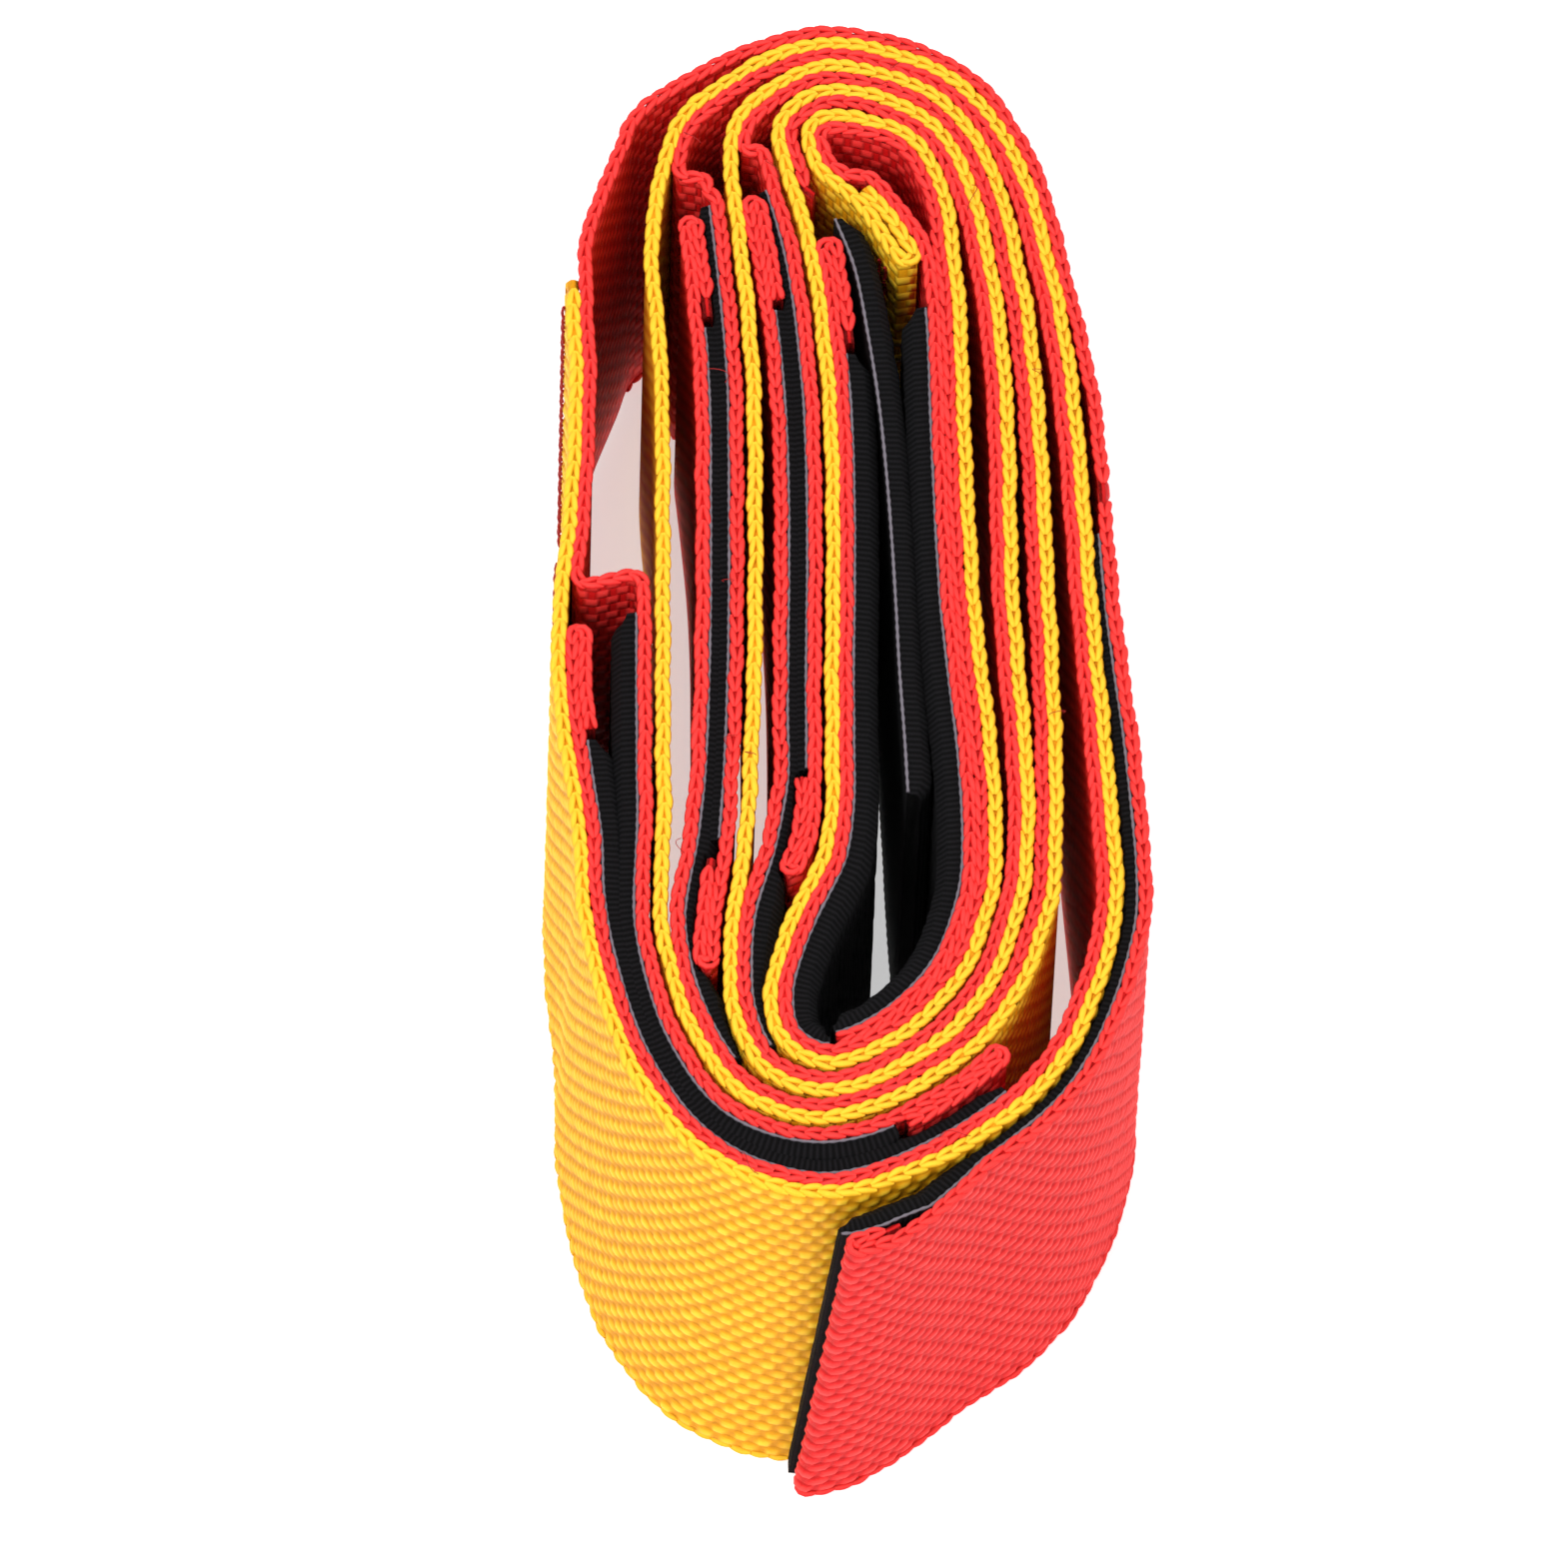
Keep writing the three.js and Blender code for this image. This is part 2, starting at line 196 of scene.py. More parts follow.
def from_hinge(points):
    """The points turned round so that they start at the end by the hinge."""
    joint = np.array(hinge.xy) / MM
    gaps = np.linalg.norm(points[[0, -1]] - joint, axis=1)
    return points if gaps[0] < gaps[1] else points[::-1]


def mixed(t, low, high, first, second):
    """first at low, second at high, and in proportion between them."""
    return (high - t) / (high - low) * first + (t - low) / (high - low) * second


def added_up(steps):
    """The steps summed from the start, with a 0 before them."""
    return np.concatenate([[0], np.cumsum(steps)])


class Path:
    """A smooth line through points, with its length, its direction and its left side."""

    def __init__(self, points):
        points = np.asarray(points, float)
        keep = [0]
        for i in range(1, len(points)):
            if np.linalg.norm(points[i] - points[keep[-1]]) > 0.02:
                keep.append(i)
        points = points[keep]
        padded = np.vstack([2 * points[0] - points[1], points, 2 * points[-1] - points[-2]])
        knots = added_up(np.sqrt(np.linalg.norm(np.diff(padded, axis=0), axis=1)))
        fine = []
        for i in range(1, len(padded) - 2):
            t0, t1, t2, t3 = knots[i - 1 : i + 3]
            gap = np.linalg.norm(padded[i + 1] - padded[i])
            t = np.linspace(t1, t2, max(2, int(gap / 0.15)), endpoint=False)[:, None]
            p0, p1, p2, p3 = padded[i - 1 : i + 3]
            before = mixed(t, t0, t1, p0, p1)
            within = mixed(t, t1, t2, p1, p2)
            after = mixed(t, t2, t3, p2, p3)
            first = mixed(t, t0, t2, before, within)
            second = mixed(t, t1, t3, within, after)
            fine.append(mixed(t, t1, t2, first, second))
        fine.append(padded[-2:-1])
        self.points = np.vstack(fine)
        self.reach = added_up(np.linalg.norm(np.diff(self.points, axis=0), axis=1))
        self.length = self.reach[-1]

    def spot(self, s):
        """The place at a length s along the path, which has to be within it."""
        return np.stack([np.interp(s, self.reach, self.points[:, k]) for k in (0, 1)], -1)

    def at(self, s):
        """The place at s, on the path or straight on from its ends."""
        s = np.asarray(s, float)
        inside = np.clip(s, 0, self.length)
        return self.spot(inside) + (s - inside)[..., None] * self.heading(inside)

    def heading(self, s, reach=0.25):
        s = np.asarray(s, float)
        low, high = np.clip(s - reach, 0, self.length), np.clip(s + reach, 0, self.length)
        along = self.spot(high) - self.spot(low)
        return along / np.linalg.norm(along, axis=-1, keepdims=True)

    def left(self, s):
        along = self.heading(s)
        return np.stack([-along[..., 1], along[..., 0]], -1)

    def nearest(self, xy):
        return self.reach[np.argmin(np.linalg.norm(self.points - np.asarray(xy), axis=1))]


# ---------------------------------------------------------------- meshes


class Mesh:
    """Gathers grids of points into one mesh, with how high each point stands, which the yarn material turns
    into painted shade and painted highlight, and where it lies.
    """

    def __init__(self):
        self.places, self.faces, self.lift, self.flat, self.coarse = [], [], [], [], []
        self.count = 0
        self.tube = (0, 0)

    def grid(self, places, lift, flat, coarse=0.0):
        """A grid of points, joined into quads and closed across its second index. coarse is 1 where the
        weave is left to the material."""
        rows, columns = places.shape[:2]
        index = np.arange(rows * columns).reshape(rows, columns) + self.count
        index = np.hstack([index, index[:, :1]])
        near, far = index[:-1], index[1:]
        faces = np.stack([near[:, :-1], far[:, :-1], far[:, 1:], near[:, 1:]], -1).reshape(-1, 4)
        self.places.append(places.reshape(-1, 3))
        self.faces.append(faces)
        self.lift.append(np.broadcast_to(lift, places.shape[:2]).reshape(-1))
        self.coarse.append(np.broadcast_to(coarse, places.shape[:2]).reshape(-1))
        self.flat.append(flat.reshape(-1, 2))
        self.tube = (self.count, rows * columns)
        self.count += rows * columns

    def cap(self, ring, at_end):
        """Closes an end of the tube that was added last with a fan from its middle."""
        places, lift, flat = self.places[-1], self.lift[-1], self.flat[-1]
        begins, size = self.tube
        first = size - ring if at_end else 0
        ids = np.arange(first, first + ring) + begins
        fan = np.stack([ids, np.roll(ids, -1), np.full(ring, self.count)], -1)
        if not at_end:
            fan = fan[:, ::-1]
        part = slice(first, first + ring)
        self.places[-1] = np.vstack([places, places[part].mean(0)])
        self.lift[-1] = np.append(lift, lift[part].mean())
        self.coarse[-1] = np.append(self.coarse[-1], 0)
        self.flat[-1] = np.vstack([flat, flat[part].mean(0)])
        self.faces.append(fan)
        self.count += 1

    def make(self, name, material):
        """The object, with one material."""
        mesh = bpy.data.meshes.new(name)
        places = np.vstack(self.places) * MM
        sizes = np.concatenate([np.full(len(f), f.shape[1]) for f in self.faces])
        corners = np.concatenate([f.reshape(-1) for f in self.faces])
        mesh.vertices.add(len(places))
        mesh.vertices.foreach_set("co", places.reshape(-1).astype(np.float32))
        mesh.loops.add(len(corners))
        mesh.loops.foreach_set("vertex_index", corners.astype(np.int32))
        mesh.polygons.add(len(sizes))
        starts = np.concatenate([[0], np.cumsum(sizes)[:-1]])
        mesh.polygons.foreach_set("loop_start", starts.astype(np.int32))
        mesh.polygons.foreach_set("loop_total", sizes.astype(np.int32))
        mesh.polygons.foreach_set("use_smooth", np.ones(len(sizes), bool))
        # The first attribute tells the yarn material where to paint shade and highlight.
        for title, values in (("lift", self.lift), ("coarse", self.coarse)):
            attribute = mesh.attributes.new(title, "FLOAT", "POINT")
            attribute.data.foreach_set("value", np.concatenate(values).astype(np.float32))
        uv = mesh.uv_layers.new(name="cloth")
        flat = np.vstack(self.flat)
        uv.data.foreach_set("uv", flat[corners].reshape(-1).astype(np.float32))
        mesh.update(calc_edges=True)
        mesh.validate()
        obj = bpy.data.objects.new(name, mesh)
        bpy.context.scene.collection.objects.link(obj)
        mesh.materials.append(material)
        return obj


def hashed(*values):
    """A number from 0 to 1 that looks random and depends only on values."""
    total = 0
    for value, scale in zip(values, (12.9898, 78.233, 37.719)):
        total = total + np.sin(np.asarray(value, float) * scale) * 43758.5453
    return total - np.floor(total)


def ripple(s, seed, wave=9.0):
    """A slow wander between -1 and 1 along a band."""
    slow = np.sin(s / wave * 2.1 + seed * 1.7)
    middling = np.sin(s / wave * 5.3 + seed * 4.1) * 0.5
    quick = np.sin(s / wave * 11.9 + seed) * 0.3
    return (slow + middling + quick) / 1.8


def weave(s, z, side, float_share):
    """How high the woven face stands, between 0 and 1. float_share is about the share of a row that
    its floats cover."""
    row_height = (FACE_HIGH - FACE_LOW) / ROWS
    place = (z - FACE_LOW) / row_height
    row = np.clip(np.floor(place + 1e-6), 0, ROWS - 1)
    across = place - row - 0.5
    jitter = (hashed(row, side) - 0.5) * 0.12
    phase = s / FLOAT_PITCH + 0.5 * ((row + side) % 2) + jitter + 0.1 * across
    crown = np.sqrt(np.clip(1 - (ROW_FILL * across) ** 2, 0, 1))
    wave = np.cos(2 * np.pi * phase)
    over = np.clip((wave + 2 * float_share - 0.9) / 0.9, 0, 1) ** 0.6
    pick = np.floor(phase + 0.5)
    strength = 0.88 + 0.24 * (hashed(row, pick, side) - 0.5)
    return np.clip(crown * (DEEPEST + (1 - DEEPEST) * over) * strength, 0, 1)


def straight(s, z):
    """A warp that leaves a band where it is."""
    return np.zeros(2)


def placed(path, s, z, out, warp):
    """Points beside a path, moved across the floor by a warp."""
    xy = path.at(s) + path.left(s) * out[..., None] + warp(s, z)
    return np.concatenate([xy, z[..., None]], -1)


def woven(mesh, path, start, finish, band, seed, step, left_rows, right_rows, warp=straight):
    """A woven band between two lengths of a path. A face with FINE_ROWS rows has its weave in the
    mesh, and a coarser face leaves it to the material."""
    count = max(2, int(round((finish - start) / step)) + 1)
    s = np.linspace(start, finish, count)
    left_z = np.linspace(FACE_LOW, FACE_HIGH, left_rows)
    right_z = np.linspace(FACE_HIGH, FACE_LOW, right_rows)
    round_off = np.radians([60, 90, 120])
    top_z, top_x = FACE_HIGH + 0.35 * np.sin(round_off), np.cos(round_off)
    edge = np.full(len(round_off), -1)
    z = np.concatenate([left_z, top_z, right_z, BAND_WIDTH - top_z])
    side = np.concatenate([np.ones(left_rows), top_x, -np.ones(right_rows), -top_x])
    face = np.concatenate([np.zeros(left_rows), edge, np.ones(right_rows), edge])
    is_face = face >= 0
    fine = ((face == 0) & (left_rows == FINE_ROWS)) | ((face == 1) & (right_rows == FINE_ROWS))
    grid_s, grid_z = np.meshgrid(s, z, indexing="ij")
    lift = weave(grid_s, grid_z, np.maximum(face, 0)[None, :], FLOAT_SHARE[band])
    body = THICK[band] / 2 - WEAVE_DEPTH * 0.55
    out = body + np.where(fine, lift * WEAVE_DEPTH, np.where(is_face, WEAVE_DEPTH * 0.45, 0))
    places = placed(path, grid_s, grid_z, out * side, warp)
    places[..., 2] += 0.12 * ripple(grid_s, seed) * (grid_z / BAND_WIDTH)
    # What the material colours by: the weave's height on fine faces, for painted shade in the pits and
    # painted highlight on the floats, a middle value on coarse faces, and a low value on the rounded edges
    # under the chain, which is painted shade there.
    painted_shade = np.where(fine, lift, np.where(is_face, 0.6, 0.3))
    flat = np.stack([grid_s, grid_z + face * FACE_SHIFT], -1) * MM
    coarse = np.where(is_face & ~fine, 1.0, 0.0)[::-1]
    mesh.grid(places[:, ::-1], painted_shade[:, ::-1], flat[:, ::-1], coarse=coarse)
    mesh.cap(len(z), False)
    mesh.cap(len(z), True)


def tubes(mesh, places, radius, sides=STRAND_SIDES, low=0.0):
    """Round yarns, many at a time: places is (yarn, point, 3), and radius (yarn, point)."""
    along = np.gradient(places, axis=1)
    along /= np.linalg.norm(along, axis=2, keepdims=True)
    across = np.cross(along, (0.0, 0.0, 1.0))
    level = np.linalg.norm(across, axis=2, keepdims=True)
    across = np.where(level > 1e-3, across / np.maximum(level, 1e-6), (1.0, 0.0, 0.0))
    above = np.cross(across, along)
    angle = np.linspace(0, 2 * np.pi, sides, endpoint=False)
    ring = np.cos(angle)[:, None] * across[:, :, None, :]
    ring = ring + np.sin(angle)[:, None] * above[:, :, None, :]
    tube = places[:, :, None, :] + ring * radius[:, :, None, None]
    # Each yarn is coloured paler on top and darker underneath, down to low: painted highlight and painted
    # shade.
    lift = np.clip(low + (1 - low) * (0.5 + 0.5 * ring[..., 2]), 0, 1)
    steps = np.linalg.norm(np.diff(places, axis=1), axis=2)
    reach = np.concatenate([np.zeros((len(places), 1)), np.cumsum(steps, axis=1)], axis=1)
    reach = reach + np.arange(len(places))[:, None] * STRAND_SHIFT
    flat = np.stack(np.broadcast_arrays(reach[:, :, None], angle * 0.3 + STRAND_START), -1) * MM
    for k in range(len(places)):
        mesh.grid(tube[k], lift[k], flat[k], )
        mesh.cap(sides, False)
        mesh.cap(sides, True)


def chain(mesh, path, start, finish, seed, top=True, size=1.0, warp=straight):
    """The edge of a webbing: a chain of stitches, each of two legs that part behind its tip."""
    pitch = CHAIN_PITCH * (0.94 if size < 1 else 1.0)
    number = np.arange(int((finish - start - 0.6) / pitch))
    tip = start + 0.3 + pitch * (number + 0.75)
    edge = 1 if top else -1
    half = BAND_WIDTH / 2
    t = np.linspace(0, 1, LEG_POINTS)
    for side in (1, -1):
        chance = hashed(number, seed, side)
        other = hashed(number + 7, seed, side)
        leg = pitch * (1.22 + 0.2 * other[:, None]) * t[None, :]
        s = np.clip(tip[:, None] + 0.1 * (chance[:, None] - 0.5) - leg, start, finish)
        open_out = 0.07 + (CHAIN_HALF - 0.07) * np.sin(t * np.pi / 2) ** 0.8
        aside = side * size * open_out[None, :] * (0.92 + 0.16 * chance[:, None])
        aside = aside + 0.09 * ripple(s, seed + 2, 2.6)
        arch = 0.13 * np.sin(np.pi * np.clip(1.15 * t, 0, 1)) - 0.16 * t**2
        taper = np.sin(np.pi * (0.1 + 0.8 * t))[None, :] ** 0.55
        radius = size * LEG_RADIUS * taper * (0.9 + 0.2 * other[:, None])
        rise = half - LEG_RADIUS * size - 0.1 + arch[None, :] + 0.05 * (other[:, None] - 0.5)
        z = half + edge * rise
        # The legs are coloured paler on top and darker underneath, from low upward: painted highlight and
        # painted shade.
        tubes(mesh, placed(path, s, z, aside, warp), radius, low=0.1)


# ---------------------------------------------------------------- materials


def node_tree(name, rough):
    material = bpy.data.materials.new(name)
    material.use_nodes = True
    nodes, links = material.node_tree.nodes, material.node_tree.links
    shader = nodes["Principled BSDF"]
    shader.inputs["Roughness"].default_value = rough
    shader.inputs["Specular IOR Level"].default_value = 0.18
    shader.inputs["Sheen Weight"].default_value = 0.0
    shader.inputs["Sheen Roughness"].default_value = 0.4
    return material, nodes, links, shader


class Sums:
    """Shader arithmetic on single numbers."""

    def __init__(self, nodes, links):
        self.nodes, self.links = nodes, links

    def __call__(self, operation, *values, clamp=False):
        node = self.nodes.new("ShaderNodeMath")
        node.operation = operation
        node.use_clamp = clamp
        for socket, value in zip(node.inputs, values):
            if isinstance(value, (int, float)):
                socket.default_value = value
            else:
                self.links.new(value, socket)
        return node.outputs["Value"]


def attribute_value(nodes, name):
    """What a mesh attribute says at the shaded point."""
    node = nodes.new("ShaderNodeAttribute")
    node.attribute_name = name
    return node.outputs["Fac"]


def cloth_place(nodes, links):
    """The place on the flat cloth, as a vector, and the node that splits it."""
    uv = nodes.new("ShaderNodeUVMap")
    uv.uv_map = "cloth"
    split = nodes.new("ShaderNodeSeparateXYZ")
    links.new(uv.outputs["UV"], split.inputs["Vector"])
    return uv.outputs["UV"], split


def noise(nodes, scale, detail):
    node = nodes.new("ShaderNodeTexNoise")
    node.inputs["Scale"].default_value = scale
    node.inputs["Detail"].default_value = detail
    return node


def colour_ramp(nodes, low, high):
    """A ramp between two stops, each of a position and a colour."""
    ramp = nodes.new("ShaderNodeValToRGB")
    for element, (position, colour) in zip(ramp.color_ramp.elements, (low, high)):
        element.position = position
        element.color = (*colour, 1)
    return ramp


def relief_of(nodes, links, height, distance, strength):
    node = nodes.new("ShaderNodeBump")
    node.inputs["Strength"].default_value = strength
    node.inputs["Distance"].default_value = distance
    links.new(height, node.inputs["Height"])
    return node


def woven_height(sums, split):
    """A weave like the one in the mesh, for the faces that are left smooth."""
    row_height = (FACE_HIGH - FACE_LOW) / ROWS * MM
    place = sums("DIVIDE", split.outputs["Y"], row_height)
    row = sums("FLOOR", place)
    across = sums("SUBTRACT", sums("SUBTRACT", place, row), 0.5)
    away = sums("POWER", sums("ABSOLUTE", sums("MULTIPLY", across, ROW_FILL)), 2.0)
    crown = sums("SQRT", sums("SUBTRACT", 1.0, away, clamp=True))
    turn = sums("ADD", sums("DIVIDE", split.outputs["X"], FLOAT_PITCH * MM), sums("MULTIPLY", row, 0.5))
    wave = sums("COSINE", sums("MULTIPLY", turn, 2 * math.pi))
    over = sums("POWER", sums("DIVIDE", sums("ADD", wave, 0.7), 0.9, clamp=True), 0.6)
    return sums("MULTIPLY", crown, sums("ADD", 0.05, sums("MULTIPLY", over, 0.95)))


def yarn(name, painted_shade_colour, body, painted_highlight_colour, bump=0.35):
    """Woven or plaited yarn: darker in its pits and on the undersides of its strands, which is painted
    shade, and paler on its crests and tops, which is painted highlight, with filaments along it.
    """
    material, nodes, links, shader = node_tree(name, YARN_ROUGH)
    sums = Sums(nodes, links)
    flat, split = cloth_place(nodes, links)
    coarse = attribute_value(nodes, "coarse")
    height = sums("MULTIPLY", woven_height(sums, split), coarse)
    # On coarse faces the shader's own weave height sets where shade and highlight are painted.
    smooth_lift = sums("ADD", sums("MULTIPLY", height, 0.55), sums("MULTIPLY", coarse, 0.4))
    fine_lift = sums("MULTIPLY", attribute_value(nodes, "lift"), sums("SUBTRACT", 1.0, coarse))
    lift = sums("ADD", smooth_lift, fine_lift)
    stretch = nodes.new("ShaderNodeMapping")
    stretch.inputs["Scale"].default_value = FILAMENT_SCALE
    links.new(flat, stretch.inputs["Vector"])
    filaments = noise(nodes, 1.0, 2.0)
    links.new(stretch.outputs["Vector"], filaments.inputs["Vector"])
    patches = noise(nodes, PATCH_SCALE, 3.0)
    fine_spread = sums("MULTIPLY", filaments.outputs["Fac"], 0.3)
    uneven = sums("ADD", fine_spread, sums("MULTIPLY", patches.outputs["Fac"], 0.2))
    # Low values reach the painted shade colour, middle ones the yarn's own colour and high ones the painted
    # highlight colour; the filaments and patches add tone that varies at random.
    shade = sums("ADD", sums("MULTIPLY", lift, 0.75), uneven)
    ramp = colour_ramp(nodes, (0.14, painted_shade_colour), (0.98, painted_highlight_colour))
    for position, share in ((0.34, 0.62), (0.6, 1.0)):
        between = ramp.color_ramp.elements.new(position)
        between.color = (*(p + (b - p) * share for p, b in zip(painted_shade_colour, body)), 1)
    links.new(shade, ramp.inputs["Fac"])
    links.new(ramp.outputs["Color"], shader.inputs["Base Color"])
    weave_relief = relief_of(nodes, links, height, WEAVE_DEPTH * MM, 1.0)
    relief = relief_of(nodes, links, filaments.outputs["Fac"], FILAMENT_DEPTH * MM, bump)
    links.new(weave_relief.outputs["Normal"], relief.inputs["Normal"])
    links.new(relief.outputs["Normal"], shader.inputs["Normal"])
    return material


def pile(name, dark, pale):
    """The black tape: short pile in ribs."""
    material, nodes, links, shader = node_tree(name, PILE_ROUGH)
    hairs = noise(nodes, PILE_SCALE, 3.0)
    ramp = colour_ramp(nodes, (0.35, dark), (0.75, pale))
    split = cloth_place(nodes, links)[1]
    sums = Sums(nodes, links)
    ribs = sums("SINE", sums("MULTIPLY", split.outputs["X"], 2 * math.pi / (RIB_PITCH * MM)))
    height = sums("ADD", hairs.outputs["Fac"], sums("MULTIPLY", ribs, 0.25))
    links.new(height, ramp.inputs["Fac"])
    links.new(ramp.outputs["Color"], shader.inputs["Base Color"])
    relief = relief_of(nodes, links, height, PILE_RELIEF * MM, 0.8)
    links.new(relief.outputs["Normal"], shader.inputs["Normal"])
    return material


# Each yarn is given a painted shade colour for pits and undersides, its own colour, and a painted highlight
# colour for crests and tops.
YELLOW = yarn("yellow_webbing", (0.34, 0.085, 0.001), (0.84, 0.37, 0.004), (1.0, 0.62, 0.035))
RED = yarn("red_webbing", (0.24, 0.001, 0.002), (0.68, 0.008, 0.009), (0.95, 0.05, 0.045))
BLACK = pile("black_tape", (0.001, 0.001, 0.0015), (0.016, 0.015, 0.018))
GREY = yarn("tape_edge", (0.02, 0.018, 0.022), (0.08, 0.07, 0.085), (0.2, 0.18, 0.21), bump=0.2)
THREAD = yarn("red_thread", (0.12, 0.002, 0.004), (0.3, 0.01, 0.012), (0.5, 0.03, 0.03), bump=0.2)


# ---------------------------------------------------------------- pieces


def outside(path, s):
    """The side of a path that faces away from the roll's middle."""
    s = np.array([s])
    away = path.at(s)[0] - core
    return "left" if np.dot(path.left(s)[0], away) > 0 else "right"


def main_path():
    """The main webbing's middle, from its inner end, which is the nearer one to the roll's long axis."""
    points = middle("main_webbing")
    ends = np.abs(points[[0, -1], 0] - core[0])
    return Path(points if ends[0] < ends[1] else points[::-1])


def main_flare(path):
    """A warp for the outer turn, whose foot stands out from the roll at its front left."""
    away = 1 if outside(path, path.length) == "left" else -1

    def warp(s, z):
        rising = np.clip((s - path.length + FLARE_FROM) / FLARE_RISE, 0, 1)
        falling = np.clip((path.length - FLARE_TO - s) / FLARE_FALL, 0, 1)
        lean = FLARE * (rising * falling) * (1 - np.clip(z / BAND_WIDTH, 0, 1)) ** 1.3
        return path.left(s) * away * lean[..., None]

    return warp


def slanted(tip):
    """A warp for the closing flap's end, which isn't square: its foot reaches further than its top."""
    ahead = np.array([-1.0, 0.1])

    def warp(s, z):
        near_end = np.clip((s - tip + SLANT_REACH) / SLANT_REACH, 0, 1) ** 2
        reach = FLAP_SLANT * near_end * (1 - np.clip(z / BAND_WIDTH, 0, 1))
        return reach[..., None] * ahead

    return warp


def make_main():
    path = main_path()
    exposed = path.length - FINE_MAIN
    mesh = Mesh()
    faces = FACES[outside(path, path.length)]
    woven(mesh, path, 0, exposed, "main", 1, COARSE_STEP, COARSE_ROWS, COARSE_ROWS)
    warp = main_flare(path)
    woven(mesh, path, exposed, path.length, "main", 1, FINE_STEP, *faces, warp=warp)
    obj = mesh.make("main_webbing_cloth", YELLOW)
    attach(obj, "root")
    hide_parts("main_webbing")
    mesh = Mesh()
    finish = path.length - END_INSET
    chain(mesh, path, END_INSET, finish, 1)
    chain(mesh, path, exposed, finish, 1, top=False, warp=warp)
    edges = mesh.make("main_webbing_edges", YELLOW)
    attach(edges, "root")


def make_flap(path, cut, seed, rows):
    """The closing flap: strap a from the hinge to its end."""
    mesh = Mesh()
    warp = slanted(path.length - FLAP_FOLD)
    woven(mesh, path, cut, path.length, "strap", seed, FINE_STEP, *rows, warp=warp)
    obj = mesh.make("closing_flap_cloth", RED)
    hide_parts("closing_flap")
    mesh = Mesh()
    for top in (True, False):
        chain(mesh, path, cut, path.length - END_INSET, seed, top=top, size=RED_SIZE, warp=warp)
    edges = mesh.make("closing_flap_edges", RED)
    blend_over_hinge(obj, path, cut)
    blend_over_hinge(edges, path, cut)


def make_strap(letter):
    """A strap with its edges. Strap a is cut at the hinge, and its flap is a piece of its own."""
    points = middle(f"strap_{letter}")
    has_flap = letter == "a"
    if has_flap:
        points = from_hinge(points)[::-1]
        flap = from_hinge(middle("closing_flap"))
        path = Path(np.vstack([points, flap[1:]]))
        cut = path.nearest((points[-1] + flap[0]) / 2)
        rows = FACES[outside(path, cut)]
        fine_from = cut - FINE_STRAP
    else:
        path = Path(points)
        cut = path.length
        fine_from = cut
    seed = 3 + STRAPS.index(letter)
    mesh = Mesh()
    woven(mesh, path, 0, fine_from, "strap", seed, COARSE_STEP, COARSE_ROWS, COARSE_ROWS)
    if has_flap:
        woven(mesh, path, fine_from, cut, "strap", seed, FINE_STEP, *rows)
    obj = mesh.make(f"strap_{letter}_cloth", RED)
    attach(obj, "root")
    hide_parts(f"strap_{letter}")
    mesh = Mesh()
    chain(mesh, path, END_INSET, cut, seed, size=RED_SIZE)
    if has_flap:
        chain(mesh, path, fine_from, cut, seed, top=False, size=RED_SIZE)
    edges = mesh.make(f"strap_{letter}_edges", RED)
    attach(edges, "root")
    if has_flap:
        make_flap(path, cut, seed, rows)


def blend_over_hinge(obj, path, cut):
    """Bakes a piece's transform into its mesh. The places at the cut and HINGE_BLEND past it are worked out,
    but the piece isn't bent.
    """
    ends = [path.at(np.array([s]))[0] for s in (cut, cut + HINGE_BLEND)]
    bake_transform(obj)


def lines_of(nodes):
    """Every point of the middles of some bands, close together."""
    return np.vstack([Path(middle(node)).points for node in nodes])


STRAP_NODES = [f"strap_{letter}" for letter in STRAPS] + ["closing_flap"]
ARMS = lines_of(STRAP_NODES)
BANDS = np.vstack([ARMS, lines_of(["main_webbing"])])


def pile_depth(path, s, way):
    """How deep the pile is at s: MOST_PILE, or less where a strap or the main webbing is near."""
    here, aside = path.at(s), path.left(s) * way
    depth = np.full(len(s), MOST_PILE)
    for k in range(len(s)):
        to = BANDS - here[k]
        ahead = to @ aside[k]
        off = np.abs(to @ np.array([-aside[k][1], aside[k][0]]))
        met = ahead[(ahead > 0.4) & (off < 0.5)]
        if len(met):
            depth[k] = min(depth[k], met.min() - PILE_STOP - THICK["tape"] / 2)
    smooth = np.convolve(np.pad(depth, 6, mode="edge"), np.ones(13) / 13, mode="valid")
    return np.clip(np.minimum(depth, smooth), 0.05, MOST_PILE)


def backing_side(path):
    """1 where the nearest strap, taken as the one a tape is sewn to, is on its left, and -1 on its right."""
    half = np.array([path.length / 2])
    centre = path.at(half)[0]
    nearest = ARMS[np.argmin(np.linalg.norm(ARMS - centre, axis=1))]
    return 1 if np.dot(path.left(half)[0], nearest - centre) > 0 else -1


